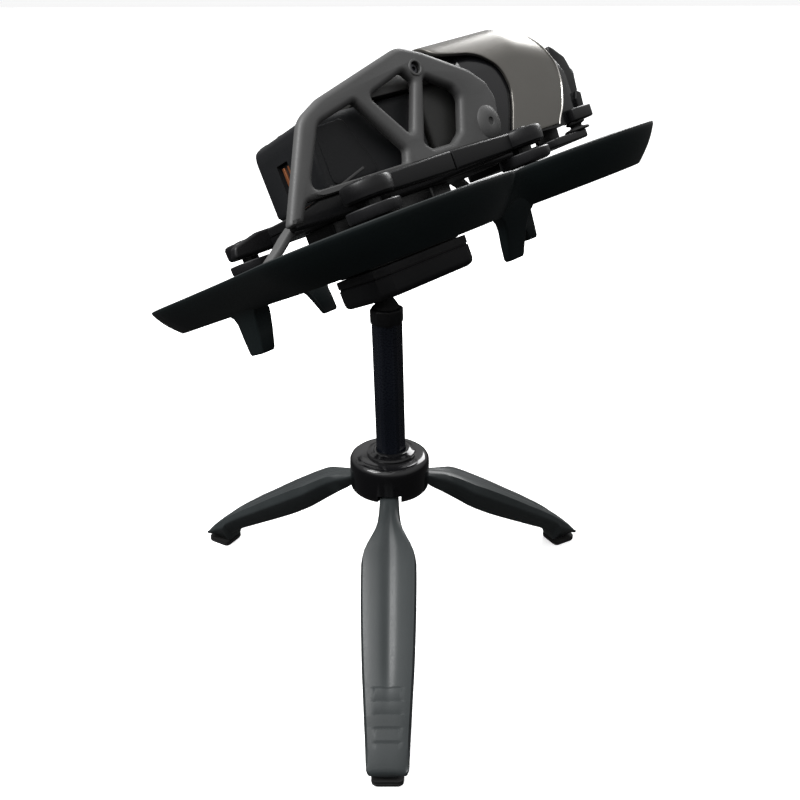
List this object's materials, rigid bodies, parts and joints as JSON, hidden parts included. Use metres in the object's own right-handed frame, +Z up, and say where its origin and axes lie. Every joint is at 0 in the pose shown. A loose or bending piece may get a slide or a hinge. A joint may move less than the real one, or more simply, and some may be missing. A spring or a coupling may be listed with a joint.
{
  "type": "ducted camera drone on a folding tripod stand",
  "caption": "Small ducted quadrotor camera drone with slide-out battery and tilting camera, held nose-up on a folding table tripod.",
  "frame": {"origin": "on the table, under the middle of the whole object's box", "axes": "+Z up, -Y towards the tripod's front leg; the drone's nose points to +X and +Y and up a little"},
  "size_m": [0.2188, 0.2494, 0.2733],
  "materials": {
    "hub_gloss": "high gloss black",
    "leg_plastic": "satin dark grey",
    "steel": "satin",
    "rubber": "matte",
    "pole_black": "semi-gloss black",
    "cradle_black": "matte black",
    "guard_black": "satin black",
    "frame_grey": "satin charcoal",
    "rotor_black": "satin black",
    "shell_black": "semi-gloss black",
    "battery_grey": "fine matte dark grey",
    "copper": "bright copper",
    "circuit": "solder mask green",
    "hood_metallic": "metallic warm grey with a soft sheen",
    "camera_black": "satin black",
    "lens": "coated glass"
  },
  "bodies": {
    "stand": {"tripod_hub": "hub_gloss", "pole": "pole_black", "pole_collar": "pole_black", "head_ball": "pole_black", "leg_pin_front": "steel", "leg_pin_right": "steel", "leg_pin_left": "steel"},
    "leg_front": {"leg_front": "leg_plastic", "foot_pad_front": "rubber"},
    "leg_right": {"leg_right": "leg_plastic", "foot_pad_right": "rubber"},
    "leg_left": {"leg_left": "leg_plastic", "foot_pad_left": "rubber"},
    "swivel": {"ball_liner": "rubber"},
    "drone": {"cradle_block": "cradle_black", "cradle_pad": "rubber", "guard_front_left": "guard_black", "guard_front_right": "guard_black", "guard_rear_left": "guard_black", "guard_rear_right": "guard_black", "motor_arm_front_left": "frame_grey", "motor_arm_front_right": "frame_grey", "motor_arm_rear_left": "frame_grey", "motor_arm_rear_right": "frame_grey", "motor_stator_front_left": "steel", "motor_stator_front_right": "steel", "motor_stator_rear_left": "steel", "motor_stator_rear_right": "steel", "landing_fin_front": "guard_black", "landing_fin_rear": "guard_black", "landing_fin_left": "guard_black", "landing_fin_right": "guard_black", "belly_shell": "shell_black", "mid_deck": "frame_grey", "circuit_board": "circuit", "side_cage_left": "frame_grey", "side_cage_right": "frame_grey", "upper_shell": "shell_black", "camera_hood": "hood_metallic", "nose_shell": "shell_black", "gimbal_plate": "shell_black", "damper_left": "rubber", "damper_right": "rubber"},
    "rotor_front_left": {"rotor_bell_front_left": "rotor_black", "propeller_front_left": "rotor_black"},
    "rotor_front_right": {"rotor_bell_front_right": "rotor_black", "propeller_front_right": "rotor_black"},
    "rotor_rear_left": {"rotor_bell_rear_left": "rotor_black", "propeller_rear_left": "rotor_black"},
    "rotor_rear_right": {"rotor_bell_rear_right": "rotor_black", "propeller_rear_right": "rotor_black"},
    "battery": {"battery_case": "battery_grey", "battery_contacts": "copper"},
    "latch_left": {"battery_latch_left": "battery_grey"},
    "latch_right": {"battery_latch_right": "battery_grey"},
    "power_button": {"power_button": "battery_grey"},
    "camera": {"camera_body": "camera_black", "lens_barrel": "camera_black", "lens_glass": "lens"}
  },
  "joints": [
    {"name": "leg_fold_front", "type": "hinge", "parent": "stand", "child": "leg_front", "pos_m": [0.00153, -0.01949, 0.0746], "axis": [1, 0, 0], "range_deg": [0, 48]},
    {"name": "leg_fold_right", "type": "hinge", "parent": "stand", "child": "leg_right", "pos_m": [0.01313, 0.00061, 0.0746], "axis": [-0.5, 0.866, 0], "range_deg": [0, 48]},
    {"name": "leg_fold_left", "type": "hinge", "parent": "stand", "child": "leg_left", "pos_m": [-0.01008, 0.00061, 0.0746], "axis": [-0.5, -0.866, 0], "range_deg": [0, 48]},
    {"name": "head_turn", "type": "hinge", "parent": "stand", "child": "swivel", "pos_m": [0.00043, -0.00609, 0.1713], "axis": [-0.0227, 0, 0.9997], "continuous": true},
    {"name": "head_tilt", "type": "hinge", "parent": "swivel", "child": "drone", "pos_m": [0.00043, -0.00609, 0.1713], "axis": [0.5492, 0.8357, 0], "range_deg": [-3, 26]},
    {"name": "rotor_spin_front_left", "type": "hinge", "parent": "drone", "child": "rotor_front_left", "pos_m": [0.00029, 0.07442, 0.17876], "axis": [-0.3472, 0.2281, 0.9096], "continuous": true},
    {"name": "rotor_spin_front_right", "type": "hinge", "parent": "drone", "child": "rotor_front_right", "pos_m": [0.06042, -0.0047, 0.22155], "axis": [-0.3472, 0.2281, 0.9096], "continuous": true},
    {"name": "rotor_spin_rear_left", "type": "hinge", "parent": "drone", "child": "rotor_rear_left", "pos_m": [-0.06105, 0.02222, 0.16844], "axis": [-0.3472, 0.2281, 0.9096], "continuous": true},
    {"name": "rotor_spin_rear_right", "type": "hinge", "parent": "drone", "child": "rotor_rear_right", "pos_m": [-0.00091, -0.0569, 0.21123], "axis": [-0.3472, 0.2281, 0.9096], "continuous": true},
    {"name": "battery_slide", "type": "slide", "parent": "drone", "child": "battery", "axis": [-0.7554, -0.6429, -0.1271], "range_m": [0, 0.062]},
    {"name": "latch_press_left", "type": "slide", "parent": "battery", "child": "latch_left", "axis": [0.3472, -0.2281, -0.9096], "range_m": [0, 0.001], "stiffness_N_per_m": 400, "springref_m": -0.001},
    {"name": "latch_press_right", "type": "slide", "parent": "battery", "child": "latch_right", "axis": [0.3472, -0.2281, -0.9096], "range_m": [0, 0.001], "stiffness_N_per_m": 400, "springref_m": -0.001},
    {"name": "button_press", "type": "slide", "parent": "battery", "child": "power_button", "axis": [0.3472, -0.2281, -0.9096], "range_m": [0, 0.0008], "stiffness_N_per_m": 400, "springref_m": -0.001},
    {"name": "camera_tilt", "type": "hinge", "parent": "drone", "child": "camera", "pos_m": [0.06232, 0.08039, 0.23941], "axis": [-0.5558, 0.7312, -0.3955], "range_deg": [-60, 80]}
  ]
}
